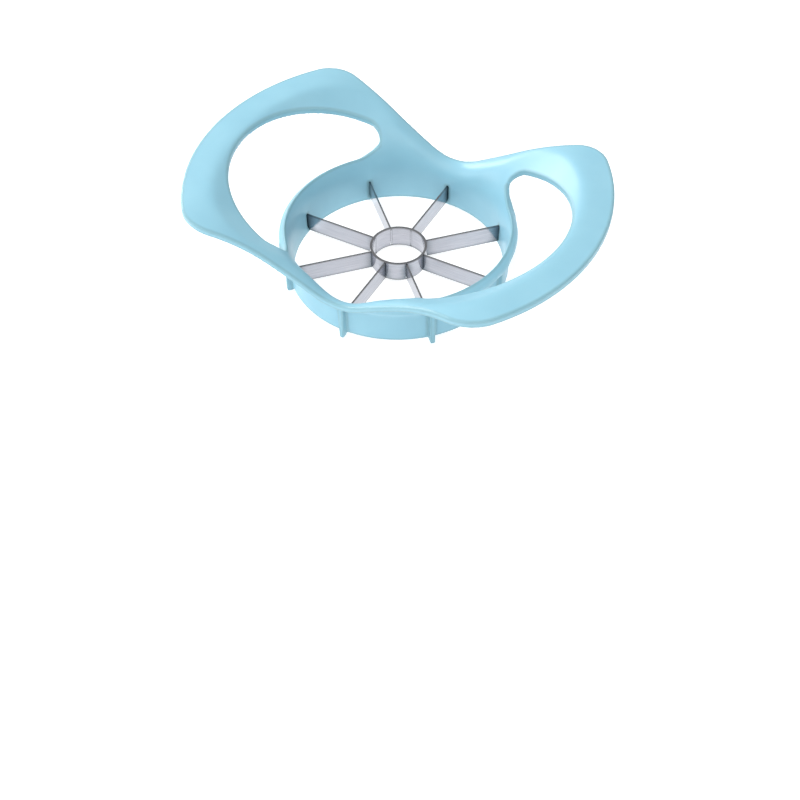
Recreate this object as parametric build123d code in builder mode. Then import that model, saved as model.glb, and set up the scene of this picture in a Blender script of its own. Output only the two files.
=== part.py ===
from build123d import *
import os
from math import cos, radians, sin, tan

# Apple slicer and wedger: one moulded frame (cutting ring and two finger-loop
# handles), a thin steel core ring in the middle and eight steel blades.
# Millimetres. The origin is on the table under the centre of the ring, +Z is up,
# and X runs through the two handles.

# --- Cutting ring ---------------------------------------------------------
ring_radius = 44.0        # inside of the ring at its lower edge
ring_wall = 2.3           # thickness of the ring wall
ring_bottom = 1.5         # height of the ring's lower edge above the table
ring_draft = 0.6          # how much wider the ring is where its flare starts
flare_start = 12.5        # height where the wall starts to lean outward
flare_radius = 24.4       # how gently it leans
flare_slope = 57.8        # degrees, how far it leans before it runs straight
draft_radius = ring_radius + ring_draft

# --- Handles --------------------------------------------------------------
handle_reach = 87.2       # from the middle of the ring to the end of a handle
waist_rim = 8.0           # from the inside of the ring to the frame's edge at its waist
waist_curve = 207.0       # radius of the hollow front and back edges
corner_radius = 16.2      # the four handle corners seen from above
plate_thickness = 3.0     # handle sheet, measured straight down
valley_height = 18.25     # where the two slopes would meet over the middle
valley_radius = 21.9      # rounding between them
wing_slope = 29.0         # degrees, rise of each wing
wing_top_start = 30.2     # where a wing starts to level out, from the middle
wing_top_radius = 79.0    # rounding from the slope to the level top
rim_blend = 8.0           # rounding from the ring's flare over to the wings
waist_half = ring_radius + waist_rim

# --- Finger loops ---------------------------------------------------------
lip_reach = 5.9           # from the inside of the ring to the outside of its lip
lip_height = 20.7         # height of the lip's outer edge
lip_edge = 1.9            # thickness of that edge
loop_radius = 44.6        # outer side of each loop
loop_centre = 28.35       # its centre, from the middle of the ring
loop_tip = 6.2            # rounding of the two ends of each loop
slope_lean = 51.0         # degrees from upright, the slope down into each loop
slope_height = 20.0       # how far the slope can rise above the lip's edge
slope_reach = 2.5         # from the inside of the ring to where it can start
slope_tip = 6.0           # rounding of its two ends
lip_radius = ring_radius + lip_reach

# --- Ribs that hold the blade ends ----------------------------------------
blade_count = 8
rib_width = 3.2
rib_foot_width = 2.0
rib_reach = 4.8           # from the inside of the ring to the outside of a rib

# --- Blades and core ring -------------------------------------------------
blade_thickness = 0.7
blade_bottom = 2.9
blade_height = 8.5
bevel_height = 1.8        # ground part of the blade above the cutting edge
edge_thickness = 0.15     # flat left at the cutting edge
blade_seat = 3.2          # how far a blade goes into the ring and its rib
core_radius = 12.0
core_wall = 1.0
core_bottom = 2.5
core_height = 9.4
core_bevel = 1.5          # ground part of the core ring above its cutting edge
core_edge = 0.25          # flat left at its cutting edge
slot_clearance = 0.1      # around a blade in its slot in the core ring

above = 80.0              # any height above the whole part
past = 1.0                # how far a cut goes past what it cuts


def wing_profile(drop):
    """Region under the handles' upper line, lowered by drop, seen from the front."""
    rise = radians(wing_slope)
    top = valley_height - drop
    flat_x = valley_radius * sin(rise)
    flat_z = top + valley_radius / cos(rise) - valley_radius
    start_z = top + wing_top_start * tan(rise)
    end_x = wing_top_start + wing_top_radius * sin(rise)
    end_z = start_z + wing_top_radius * (1 - cos(rise))
    side = handle_reach + past
    with BuildSketch(Plane.XZ) as profile:
        with BuildLine():
            for s in (1, -1):
                foot = (s * flat_x, top + flat_x * tan(rise))
                shoulder = (s * wing_top_start, start_z)
                ThreePointArc((0, flat_z), (s * valley_radius * sin(rise / 2),
                              flat_z + valley_radius * (1 - cos(rise / 2))), foot)
                Line(foot, shoulder)
                JernArc(start=shoulder, tangent=(s * cos(rise), sin(rise)),
                        radius=wing_top_radius, arc_size=-s * wing_slope)
                Polyline((s * end_x, end_z), (s * side, end_z), (s * side, -past),
                         (0, -past))
        make_face()
    return profile.sketch


def ring_profile(offset, bottom):
    """Region inside the ring wall, its flare moved outward by offset."""
    lean = radians(flare_slope)
    radius = flare_radius - offset
    start = (draft_radius + offset, flare_start)
    end = (start[0] + radius * (1 - cos(lean)), flare_start + radius * sin(lean))
    far = end[0] + (above - end[1]) * tan(lean)
    with BuildSketch(Plane.XZ) as profile:
        with BuildLine():
            Polyline((0, bottom), (ring_radius + offset, bottom), start)
            JernArc(start=start, tangent=(0, 1), radius=radius, arc_size=-flare_slope)
            Polyline(end, (far, above), (0, above), (0, bottom))
        make_face()
    return profile.sketch


# All that lies under the handles' upper face, and all that lies under their
# lower face.
with BuildPart() as under_top:
    extrude(wing_profile(0), amount=handle_reach, both=True)

with BuildPart() as under_bottom:
    extrude(wing_profile(plate_thickness), amount=handle_reach, both=True)

# The hollow of the ring and the same hollow grown by the wall.
with BuildPart() as hollow:
    revolve(ring_profile(0, -past), axis=Axis.Z)

with BuildPart() as hollow_and_wall:
    revolve(ring_profile(ring_wall, ring_bottom), axis=Axis.Z)


def plan_outline():
    """Outline of the whole frame from above: a round band with two hollow sides."""
    with BuildSketch() as plan:
        Circle(handle_reach)
        with Locations((0, waist_half + waist_curve), (0, -waist_half - waist_curve)):
            Circle(waist_curve, mode=Mode.SUBTRACT)
        fillet(plan.vertices(), radius=corner_radius)
    return plan.sketch


def loop_outline(side, inner, tip):
    """One finger loop from above: a crescent that starts at radius inner."""
    with BuildSketch() as plan:
        with Locations((side * loop_centre, 0)):
            Circle(loop_radius)
        Circle(inner, mode=Mode.SUBTRACT)
        fillet(plan.vertices(), radius=tip)
    return plan.sketch


# The lip: a thicker band around the top of the ring wall, cone-shaped below.
lip_under = lip_height - lip_edge
with BuildPart() as lip_band:
    with BuildSketch(Plane.XZ):
        with BuildLine():
            inside = ring_radius + ring_wall / 2
            foot = lip_under - (lip_radius - inside)
            Polyline((0, foot), (inside, foot), (lip_radius, lip_under),
                     (lip_radius, above), (0, above), close=True)
        make_face()
    revolve(axis=Axis.Z)


# The finger loops, and the slope that leads down into them: along the lip and
# around their ends, not on the side of the wings.
with BuildPart() as loops:
    for side in (1, -1):
        extrude(loop_outline(side, lip_radius, loop_tip), amount=above)

with BuildPart() as slopes:
    with BuildSketch(Plane.XY.offset(lip_height)):
        for side in (1, -1):
            add(loop_outline(side, lip_radius, loop_tip))
    extrude(amount=slope_height, taper=-slope_lean)
    with BuildSketch():
        for side in (1, -1):
            add(loop_outline(side, ring_radius + slope_reach, slope_tip))
    extrude(amount=above, mode=Mode.INTERSECT)


def across_blade(angle, distance):
    """Plane square to the blade at angle, distance out from the middle, its y up."""
    out = Vector(1, 0, 0).rotate(Axis.Z, angle)
    return Plane(origin=out * distance, x_dir=Vector(0, 0, 1).cross(out), z_dir=out)


def blade_section():
    """Section of a blade: a flat strip, ground to an edge below."""
    half, edge = blade_thickness / 2, edge_thickness / 2
    top, ground = blade_bottom + blade_height, blade_bottom + bevel_height
    with BuildSketch() as section:
        with BuildLine():
            Polyline((edge, blade_bottom), (half, ground), (half, top), (-half, top),
                     (-half, ground), (-edge, blade_bottom), close=True)
        make_face()
    return section.sketch


blade_angles = [index * 360 / blade_count for index in range(blade_count)]

# Ribs outside the ring wall, up to the lip. Their feet stand below the ring.
rib_root = ring_radius + 0.8 * ring_wall  # inside the wall

with BuildPart() as ribs:
    for angle in blade_angles:
        with BuildSketch(across_blade(angle, rib_root)):
            with BuildLine():
                Polyline((rib_foot_width / 2, 0), (rib_width / 2, lip_under),
                         (-rib_width / 2, lip_under), (-rib_foot_width / 2, 0), close=True)
            make_face()
        extrude(amount=ring_radius + rib_reach - rib_root)

# The frame is one moulding: the bent sheet of the handles with the ring's flare
# sunk into it, the ring wall, lip and ribs left standing underneath, and the
# finger loops cut through.
with BuildPart() as frame:
    add(under_top.part)
    add(hollow.part, mode=Mode.SUBTRACT)
    fillet(frame.edges(Select.LAST).filter_by(GeomType.BSPLINE), radius=rim_blend)
    with BuildSketch(Plane.XY):
        add(plan_outline())
    extrude(amount=above, mode=Mode.INTERSECT)
    add(under_bottom.part - (hollow_and_wall.part + lip_band.part + ribs.part),
        mode=Mode.SUBTRACT)
    add(loops.part, mode=Mode.SUBTRACT)
    add(slopes.part, mode=Mode.SUBTRACT)
    # Slots in which the blade ends are moulded, through the wall into the ribs.
    for angle in blade_angles:
        with BuildSketch(across_blade(angle, ring_radius - past)):
            add(blade_section())
        extrude(amount=blade_seat + past, mode=Mode.SUBTRACT)

with BuildPart() as core_ring:
    inner = core_radius - core_wall
    with BuildSketch(Plane.XZ):
        with BuildLine():
            Polyline((inner, core_bottom), (inner + core_edge, core_bottom),
                     (core_radius, core_bottom + core_bevel),
                     (core_radius, core_bottom + core_height),
                     (inner, core_bottom + core_height), close=True)
        make_face()
    revolve(axis=Axis.Z)
    for angle in blade_angles:
        with BuildSketch(across_blade(angle, inner - past)):
            with Locations((0, blade_bottom + blade_height / 2)):
                Rectangle(blade_thickness + 2 * slot_clearance,
                          blade_height + 2 * slot_clearance)
        extrude(amount=core_wall + 2 * past, mode=Mode.SUBTRACT)

blades = []
for angle in blade_angles:
    with BuildPart() as blade:
        with BuildSketch(across_blade(angle, core_radius - core_wall)):
            add(blade_section())
        extrude(amount=ring_radius + blade_seat - core_radius + core_wall)
    blades.append(blade)

os.makedirs("parts", exist_ok=True)
frame.part.label = "frame"
export_step(frame.part, "parts/frame.step")
core_ring.part.label = "core_ring"
export_step(core_ring.part, "parts/core_ring.step")
for index, blade in enumerate(blades, start=1):
    blade.part.label = f"blade_{index}"
    export_step(blade.part, f"parts/blade_{index}.step")
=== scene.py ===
from math import radians

import bmesh
import bpy
from mathutils import Matrix, Vector
from mathutils.kdtree import KDTree


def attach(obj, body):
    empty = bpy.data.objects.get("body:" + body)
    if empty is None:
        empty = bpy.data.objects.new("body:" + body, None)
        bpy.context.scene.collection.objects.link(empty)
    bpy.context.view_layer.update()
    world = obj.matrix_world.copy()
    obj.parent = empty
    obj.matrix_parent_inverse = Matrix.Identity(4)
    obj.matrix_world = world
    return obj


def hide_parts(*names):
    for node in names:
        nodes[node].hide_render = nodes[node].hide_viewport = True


# An apple slicer. One piece takes the place of the frame: the same form with rounded
# edges. The steel blades and the core ring are the solids themselves.

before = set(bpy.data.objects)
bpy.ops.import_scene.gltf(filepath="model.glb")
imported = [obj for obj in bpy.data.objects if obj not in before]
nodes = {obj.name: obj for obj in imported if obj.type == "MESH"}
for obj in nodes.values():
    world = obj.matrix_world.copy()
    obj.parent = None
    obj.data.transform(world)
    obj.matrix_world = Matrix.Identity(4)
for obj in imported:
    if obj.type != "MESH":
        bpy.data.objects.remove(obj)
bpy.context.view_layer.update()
mm = 0.001


def colour(r, g, b):
    """An sRGB colour, 0 to 255, as the linear colour that a socket takes."""
    def linear(v):
        v /= 255
        return v / 12.92 if v <= 0.04045 else ((v + 0.055) / 1.055) ** 2.4
    return (linear(r), linear(g), linear(b), 1)


def grey(value):
    """A linear grey, 0 to 1, as the colour that a socket takes."""
    return (value, value, value, 1)


# --- Colours --------------------------------------------------------------
plastic_dark = colour(142, 194, 213)
plastic_light = colour(148, 199, 217)
steel_dark = colour(176, 178, 187)
steel_light = colour(192, 193, 200)
no_tint = grey(1)
edge_shade_tint = (0.84, 0.82, 0.79, 1)      # painted shade on the plastic along its edges
corner_shade_tint = (0.2, 0.26, 0.28, 1)    # painted shade on the steel in its corners, where it meets other pieces
line_shade_tint = (0.6, 0.6, 0.58, 1)       # painted shade on the steel along its upper and lower edge

# --- Lower and upper edge of the steel pieces, as in the solids -----------
blade_heights = (2.9 * mm, 11.4 * mm)
core_heights = (2.5 * mm, 11.9 * mm)

# --- The frame's mesh -----------------------------------------------------
same_point = 0.01 * mm                # points nearer to each other than this are one
voxel = 0.28 * mm                     # grid of the even mesh
sharp = radians(52)                   # an edge of the solid counts from this angle on
sliver = 0.05 * mm * mm               # faces smaller than this have no edge that counts
edge_step = 0.5 * mm                  # spacing of the points along an edge
edge_zone = 2 * mm                    # the faces are left alone this near to an edge
edge_reach = 4 * mm                   # the stored edge distance is 1 from here on
loop_end = (29.5, 37.7, 28.5)         # one end of a finger loop, in mm
loop_end_reach = 7 * mm               # how far the smoothing of a loop's end reaches
smoothing = 0.5                       # how far each pass moves a point, as a share
edge_passes = 24
face_passes = 230
loop_end_passes = 160
faces_kept = 0.3


def node(tree, kind, **sockets):
    """A new shader node with the given input values."""
    made = tree.nodes.new(kind)
    for name, value in sockets.items():
        made.inputs[name.replace("_", " ")].default_value = value
    return made


def noise(tree, place, scale, detail=4, stretch=(1, 1, 1)):
    """Noise over the object's own coordinates, drawn out along the axes."""
    mapping = node(tree, "ShaderNodeMapping", Scale=stretch)
    tree.links.new(place, mapping.inputs["Vector"])
    made = node(tree, "ShaderNodeTexNoise", Scale=scale, Detail=detail)
    tree.links.new(mapping.outputs["Vector"], made.inputs["Vector"])
    return made.outputs["Fac"]


def ramp(tree, value, low, high, first, last):
    """Value from low to high, as a colour from first to last."""
    made = tree.nodes.new("ShaderNodeValToRGB")
    made.color_ramp.elements[0].position = low
    made.color_ramp.elements[1].position = high
    made.color_ramp.elements[0].color = first
    made.color_ramp.elements[1].color = last
    tree.links.new(value, made.inputs["Fac"])
    return made.outputs["Color"]


def spread(tree, value, low, high, start=0, end=1):
    """Value from start to end, as a number from low to high."""
    made = node(tree, "ShaderNodeMapRange", From_Min=start, From_Max=end,
                To_Min=low, To_Max=high)
    tree.links.new(value, made.inputs["Value"])
    return made.outputs["Result"]


def tinted(tree, body, tint):
    """Colour body times colour tint."""
    made = tree.nodes.new("ShaderNodeVectorMath")
    made.operation = "MULTIPLY"
    tree.links.new(body, made.inputs[0])
    tree.links.new(tint, made.inputs[1])
    return made.outputs["Vector"]


def height(tree, place):
    """The Z of a vector."""
    split = tree.nodes.new("ShaderNodeSeparateXYZ")
    tree.links.new(place, split.inputs["Vector"])
    return split.outputs["Z"]


def away_from(tree, value, middle):
    """How far value is from the number middle."""
    above = tree.nodes.new("ShaderNodeMath")
    above.operation = "SUBTRACT"
    above.inputs[1].default_value = middle
    tree.links.new(value, above.inputs[0])
    away = tree.nodes.new("ShaderNodeMath")
    away.operation = "ABSOLUTE"
    tree.links.new(above.outputs["Value"], away.inputs[0])
    return away.outputs["Value"]


def new_material(name):
    """A new material with its node tree, its shader and the object's coordinates."""
    material = bpy.data.materials.new(name)
    material.use_nodes = True
    tree = material.node_tree
    shader = tree.nodes["Principled BSDF"]
    place = tree.nodes.new("ShaderNodeTexCoord").outputs["Object"]
    return material, tree, shader, place


def bump(tree, shader, relief, distance, strength):
    """Gives the shader's surface a fine relief."""
    made = node(tree, "ShaderNodeBump", Strength=strength, Distance=distance)
    tree.links.new(relief, made.inputs["Height"])
    tree.links.new(made.outputs["Normal"], shader.inputs["Normal"])


def plastic():
    """Light blue moulded plastic with a satin skin, and painted shade that makes it a
    little darker along its edges.
    """
    material, tree, shader, place = new_material("blue_plastic")
    cloudy = noise(tree, place, scale=45)
    body = ramp(tree, cloudy, 0.35, 0.65, plastic_dark, plastic_light)
    from_edge = tree.nodes.new("ShaderNodeAttribute")
    from_edge.attribute_name = "edge_distance"
    # Painted shade: the plastic turns darker near its edges.
    rim = ramp(tree, from_edge.outputs["Fac"], 0.15, 0.4, edge_shade_tint, no_tint)
    tree.links.new(tinted(tree, body, rim), shader.inputs["Base Color"])
    gloss = spread(tree, noise(tree, place, scale=300), low=0.30, high=0.42)
    tree.links.new(gloss, shader.inputs["Roughness"])
    shader.inputs["IOR"].default_value = 1.46
    shader.inputs["Subsurface Weight"].default_value = 0.1
    shader.inputs["Subsurface Radius"].default_value = (0.5, 0.9, 1.0)
    shader.inputs["Subsurface Scale"].default_value = 1.5 * mm
    grain = noise(tree, place, scale=1600, detail=3)
    bump(tree, shader, grain, distance=0.04 * mm, strength=0.2)
    return material


def edge_line_shade(tree, place, low, high):
    """A tint of painted shade that darkens a steel piece near its edges, at the heights low
    and high.
    """
    away = away_from(tree, height(tree, place), (low + high) / 2)
    half = (high - low) / 2
    nearness = spread(tree, away, low=0, high=1, start=half - 0.7 * mm, end=half - 0.2 * mm)
    return ramp(tree, nearness, 0, 1, no_tint, line_shade_tint)


def steel(name, stretch, low, high):
    """Thin stainless steel with rolling marks drawn out along it, and painted shade in its
    corners and along its two edges, at the heights low and high."""
    material, tree, shader, place = new_material(name)
    marks = noise(tree, place, scale=2200, detail=5, stretch=stretch)
    body = ramp(tree, marks, 0.3, 0.7, steel_dark, steel_light)
    # Painted shade: the steel turns dark where ambient occlusion finds other pieces close
    # by.
    corner = node(tree, "ShaderNodeAmbientOcclusion", Distance=6 * mm)
    shade = ramp(tree, corner.outputs["AO"], 0.45, 0.9, corner_shade_tint, no_tint)
    body = tinted(tree, body, shade)
    # Painted shade along the upper and lower edge of the steel.
    body = tinted(tree, body, edge_line_shade(tree, place, low, high))
    tree.links.new(body, shader.inputs["Base Color"])
    shader.inputs["Metallic"].default_value = 1.0
    gloss = spread(tree, marks, low=0.10, high=0.20)
    tree.links.new(gloss, shader.inputs["Roughness"])
    bump(tree, shader, marks, distance=0.01 * mm, strength=0.1)
    return material


def dress(obj, material):
    """Gives obj this material alone."""
    obj.data.materials.clear()
    obj.data.materials.append(material)


# --- Materials, and the pieces that are only dressed ----------------------
blue = plastic()
strip = steel("blade_steel", (0.04, 0.04, 1), *blade_heights)
tube = steel("core_steel", (0.08, 0.08, 1), *core_heights)

for name, obj in nodes.items():
    if name == "core_ring":
        dress(obj, tube)
    elif name.startswith("blade"):
        dress(obj, strip)


# --- Frame ----------------------------------------------------------------
def clamp(value):
    """Value, held between 0 and 1."""
    return min(1, max(0, value))


def apply_modifiers(made):
    """Puts the shape that the modifiers give in the place of the mesh."""
    depsgraph = bpy.context.evaluated_depsgraph_get()
    mesh = bpy.data.meshes.new_from_object(made.evaluated_get(depsgraph))
    made.modifiers.clear()
    made.data = mesh
    mesh.name = made.name
    mesh.shade_smooth()


def moulding():
    """The frame as it comes from the mould: the solid's own form with every edge
    rounded, on a fine even mesh."""
    made = bpy.data.objects.new("frame_moulding", nodes["frame"].data.copy())
    bpy.context.collection.objects.link(made)
    weld = made.modifiers.new("weld", "WELD")
    weld.merge_threshold = same_point
    remesh = made.modifiers.new("even_mesh", "REMESH")
    remesh.mode = "VOXEL"
    remesh.voxel_size = voxel
    remesh.use_smooth_shade = True
    soften = made.modifiers.new("soft_edges", "SMOOTH")
    soften.factor = smoothing
    soften.iterations = edge_passes
    apply_modifiers(made)
    return made


def edge_points(source):
    """Points along every sharp edge of a CAD mesh."""
    shape = bmesh.new()
    shape.from_mesh(source.data)
    bmesh.ops.remove_doubles(shape, verts=shape.verts, dist=same_point)
    points = []
    for edge in shape.edges:
        if len(edge.link_faces) != 2 or edge.calc_face_angle() < sharp:
            continue
        if min(face.calc_area() for face in edge.link_faces) < sliver:
            continue
        start, end = (vertex.co for vertex in edge.verts)
        steps = max(1, round((end - start).length / edge_step))
        points += [start.lerp(end, step / steps) for step in range(steps + 1)]
    shape.free()
    return points


def distances(mesh, points):
    """How far each vertex of mesh lies from the nearest of points."""
    nearest = KDTree(len(points))
    for index, point in enumerate(points):
        nearest.insert(point, index)
    nearest.balance()
    return [nearest.find(vertex.co)[2] for vertex in mesh.vertices]


def smooth_where(made, name, shares, passes):
    """Smooths made as far as its vertices' shares, 0 to 1, allow."""
    group = made.vertex_groups.new(name=name)
    for index, share in enumerate(shares):
        if share > 0:
            group.add([index], share, "REPLACE")
    sweep = made.modifiers.new(name, "SMOOTH")
    sweep.factor = smoothing
    sweep.iterations = passes
    sweep.vertex_group = name


def even_out(made, edge_cloud):
    """Smooths the broad faces, away from the edges, to one sweep, rounds the ends of the
    finger loops and leaves out the faces that this makes needless."""
    faces = [clamp(away / edge_zone - 1) for away in distances(made.data, edge_cloud)]
    smooth_where(made, "broad_faces", faces, face_passes)
    x, y, z = loop_end
    ends = [Vector((side * x, front * y, z)) * mm for side in (-1, 1) for front in (-1, 1)]
    near_ends = [clamp(1 - away / loop_end_reach) for away in distances(made.data, ends)]
    smooth_where(made, "loop_ends", near_ends, loop_end_passes)
    thin = made.modifiers.new("fewer_faces", "DECIMATE")
    thin.ratio = faces_kept
    apply_modifiers(made)


def mark_edges(made, edge_cloud):
    """Stores how far each vertex lies from the edges, for the plastic's painted edge shade.
    """
    shares = [clamp(away / edge_reach) for away in distances(made.data, edge_cloud)]
    stored = made.data.attributes.new("edge_distance", "FLOAT", "POINT")
    stored.data.foreach_set("value", shares)


frame_moulding = moulding()
frame_edges = edge_points(nodes["frame"])
even_out(frame_moulding, frame_edges)
mark_edges(frame_moulding, frame_edges)
dress(frame_moulding, blue)
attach(frame_moulding, "root")
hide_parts("frame")


# --- Floor ----------------------------------------------------------------
def pale_floor():
    """A plain pale floor that glows a little, so that the shadows on it stay faint."""
    bpy.ops.mesh.primitive_plane_add(size=8, location=(0, 0, 0))
    plane = bpy.context.object
    plane.name = "floor"
    material, tree, shader, place = new_material("pale_floor")
    body = ramp(tree, noise(tree, place, scale=3), 0.3, 0.7, grey(0.60), grey(0.62))
    tree.links.new(body, shader.inputs["Base Color"])
    shader.inputs["Emission Color"].default_value = grey(1)
    shader.inputs["Emission Strength"].default_value = 0.7
    shader.inputs["Roughness"].default_value = 0.9
    shader.inputs["Specular IOR Level"].default_value = 0.1
    dress(plane, material)
    return plane


floor = pale_floor()


# --- Light ----------------------------------------------------------------
def studio():
    """Even light from all around, a little brighter from above."""
    world = bpy.data.worlds.new("studio")
    world.use_nodes = True
    tree = world.node_tree
    direction = tree.nodes.new("ShaderNodeTexCoord").outputs["Generated"]
    sky = ramp(tree, height(tree, direction), 0.0, 0.6, grey(0.35), grey(0.54))
    tree.links.new(sky, tree.nodes["Background"].inputs["Color"])
    return world


def panel(name, place, size, power):
    """A soft square light aimed at the middle of the object; metres and watts."""
    light = bpy.data.lights.new(name, "AREA")
    light.size = size
    light.energy = power
    made = bpy.data.objects.new(name, light)
    bpy.context.collection.objects.link(made)
    made.location = place
    made.rotation_mode = "QUATERNION"
    made.rotation_quaternion = Vector(place).to_track_quat("Z", "Y")


scene = bpy.context.scene
scene.view_settings.view_transform = "Standard"
scene.world = studio()
panel("key_light", place=(-0.1, -0.6, 1.0), size=1.0, power=6.4)
panel("fill_light", place=(0.6, -0.3, 0.8), size=0.8, power=2)
panel("back_light", place=(-0.8, 0.28, 0.42), size=0.4, power=5.2)
panel("side_light", place=(-0.85, -0.45, 0.3), size=0.4, power=2.8)

# --- Camera, fitted to the photo ------------------------------------------
camera = bpy.data.cameras.new("camera")
camera.sensor_width = 36
camera.lens = 69.57
eye = bpy.data.objects.new("camera", camera)
bpy.context.collection.objects.link(eye)
eye_place = (0.239009, -0.427479, 0.440760)
right = Vector((0.87869398, 0.47722016, -0.01256205))
up = Vector((-0.34112577, 0.64608022, 0.68279833))
back = Vector((0.33396122, -0.59568554, 0.7304989))
turn = Matrix((right, up, back)).transposed().to_4x4()
eye.matrix_world = Matrix.Translation(eye_place) @ turn
scene.camera = eye
